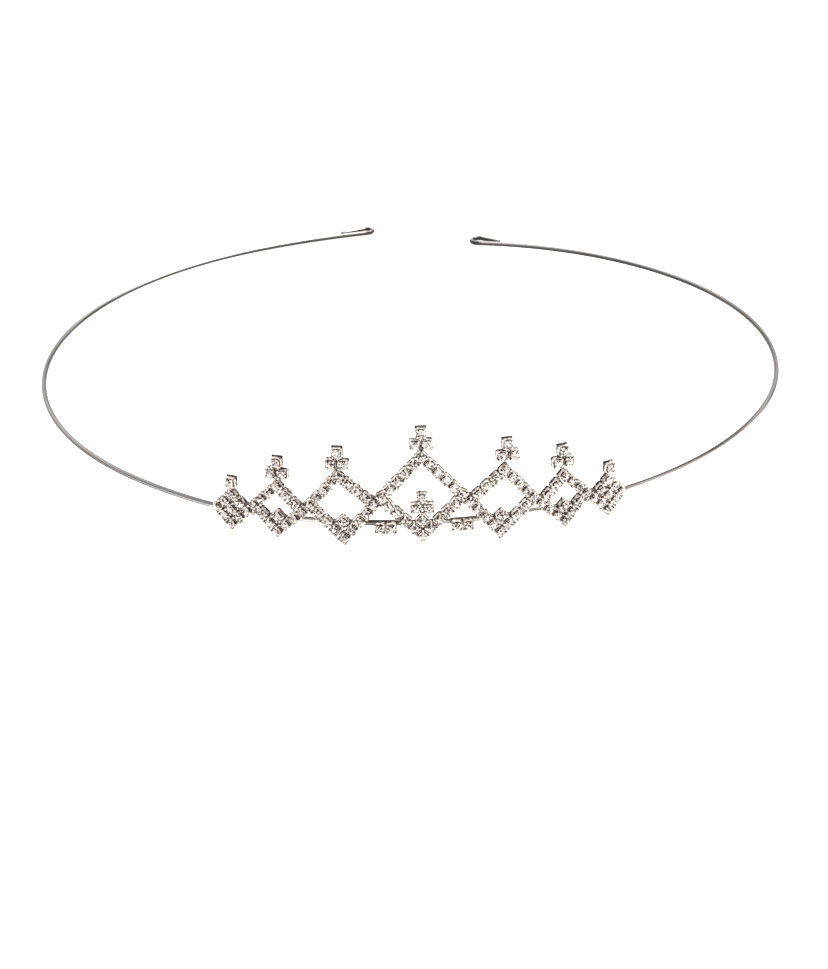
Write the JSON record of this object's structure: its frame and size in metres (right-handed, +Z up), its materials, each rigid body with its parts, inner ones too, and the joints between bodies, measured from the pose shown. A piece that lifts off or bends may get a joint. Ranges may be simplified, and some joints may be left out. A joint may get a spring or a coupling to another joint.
{
  "type": "tiara",
  "caption": "Low tiara of crossing rhinestone cup chain with small finials, soldered to a springy round wire headband with looped ends.",
  "frame": {"origin": "centre of the bounding box on the surface that the tiara rests on", "axes": "+X towards the wearer's left, which is the right side of the picture; -Y towards the crown, +Y towards the open ends; +Z up from the surface"},
  "size_m": [0.1628, 0.1706, 0.0247],
  "materials": {
    "plated_metal": "bright silver plating on spring steel wire and on brass stone cups, joined with soft solder",
    "crystal": "clear cut glass rhinestones with a silvered back"
  },
  "bodies": {
    "root": {"frame": "plated_metal", "stones_centre": "crystal", "stones_inner_left": "crystal", "stones_outer_left": "crystal", "stones_end_left": "crystal", "stones_link_left": "crystal", "stones_inner_right": "crystal", "stones_outer_right": "crystal", "stones_end_right": "crystal", "stones_link_right": "crystal", "finial_centre_left": "crystal", "finial_centre_right": "crystal", "finial_centre_top": "crystal", "finial_inner_left_inside": "crystal", "finial_inner_left_outside": "crystal", "finial_inner_left_top": "crystal", "finial_outer_left_inside": "crystal", "finial_outer_left_outside": "crystal", "finial_outer_left_top": "crystal", "finial_end_left": "crystal", "finial_inner_right_inside": "crystal", "finial_inner_right_outside": "crystal", "finial_inner_right_top": "crystal", "finial_outer_right_inside": "crystal", "finial_outer_right_outside": "crystal", "finial_outer_right_top": "crystal", "finial_end_right": "crystal"}
  },
  "joints": []
}
